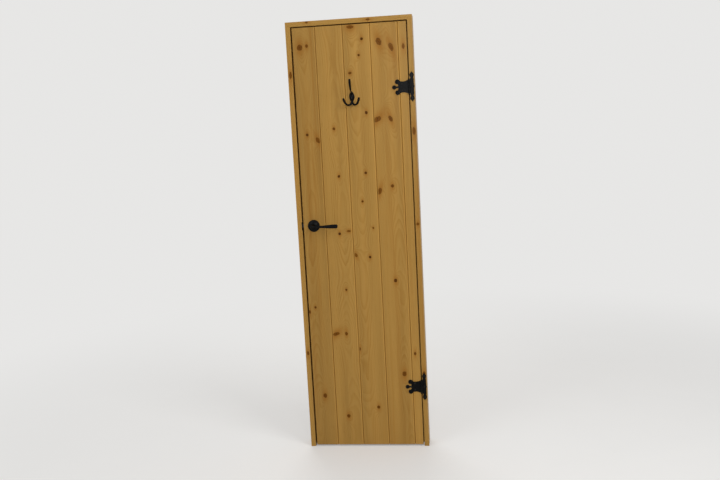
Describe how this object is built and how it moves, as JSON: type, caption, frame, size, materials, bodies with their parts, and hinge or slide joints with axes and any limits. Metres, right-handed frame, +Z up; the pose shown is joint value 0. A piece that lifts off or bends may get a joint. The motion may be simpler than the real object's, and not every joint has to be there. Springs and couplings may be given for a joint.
{
  "type": "internal plank door in a frame, with lever latch and coat hook",
  "caption": "Varnished pine plank door hung in its lining on black ornamental hinges, with a lever latch and a triple coat hook; the leaf swings, the levers draw the bolt.",
  "frame": {"origin": "the foot of the hinge jamb's outer face, half way through the wall", "axes": "+X out of the hinge jamb's outer face, -Y the side the leaf opens to, +Z up"},
  "size_m": [0.526, 0.1477, 1.845],
  "materials": {
    "board_pine": "knotty pine boards, honey-coloured satin varnish",
    "frame_pine": "planed pine lining, honey-coloured satin varnish",
    "backing_pine": "planed pine backing, honey-coloured satin varnish",
    "black_iron": "black antique paint on iron, satin",
    "latch_steel": "dull plated steel"
  },
  "bodies": {
    "frame": {"hinge_jamb": "frame_pine", "latch_jamb": "frame_pine", "frame_head": "frame_pine", "hinge_stop": "frame_pine", "latch_stop": "frame_pine", "head_stop": "frame_pine", "upper_hinge_frame_plate": "black_iron", "lower_hinge_frame_plate": "black_iron", "upper_hinge_pin": "black_iron", "lower_hinge_pin": "black_iron", "strike_plate": "black_iron"},
    "leaf": {"board_1": "board_pine", "board_2": "board_pine", "board_3": "board_pine", "board_4": "board_pine", "board_5": "board_pine", "latch_stile": "backing_pine", "hinge_stile": "backing_pine", "top_rail": "backing_pine", "middle_rail": "backing_pine", "bottom_rail": "backing_pine", "upper_brace": "backing_pine", "lower_brace": "backing_pine", "upper_hinge_door_plate": "black_iron", "lower_hinge_door_plate": "black_iron", "latch_case": "latch_steel", "latch_forend": "black_iron", "front_rose": "black_iron", "back_rose": "black_iron", "coat_hook": "black_iron"},
    "lever": {"front_lever": "black_iron", "back_lever": "black_iron", "spindle": "latch_steel"},
    "bolt": {"latch_bolt": "latch_steel"}
  },
  "joints": [
    {"name": "leaf_swing", "type": "hinge", "parent": "frame", "child": "leaf", "pos_m": [-0.0225, -0.0457, 0.914], "axis": [0, 0, 1], "range_deg": [0, 100]},
    {"name": "lever_turn", "type": "hinge", "parent": "leaf", "child": "lever", "pos_m": [-0.455, -0.021, 0.993], "axis": [0, 1, 0], "range_deg": [0, 45], "stiffness_Nm_per_rad": 1, "springref_deg": -17.19},
    {"name": "bolt_slide", "type": "slide", "parent": "leaf", "child": "bolt", "axis": [1, 0, 0], "range_m": [0, 0.0125]}
  ],
  "couplings": [
    {"joint": "bolt_slide", "follows": "lever_turn", "m_per_rad": 0.01528}
  ]
}
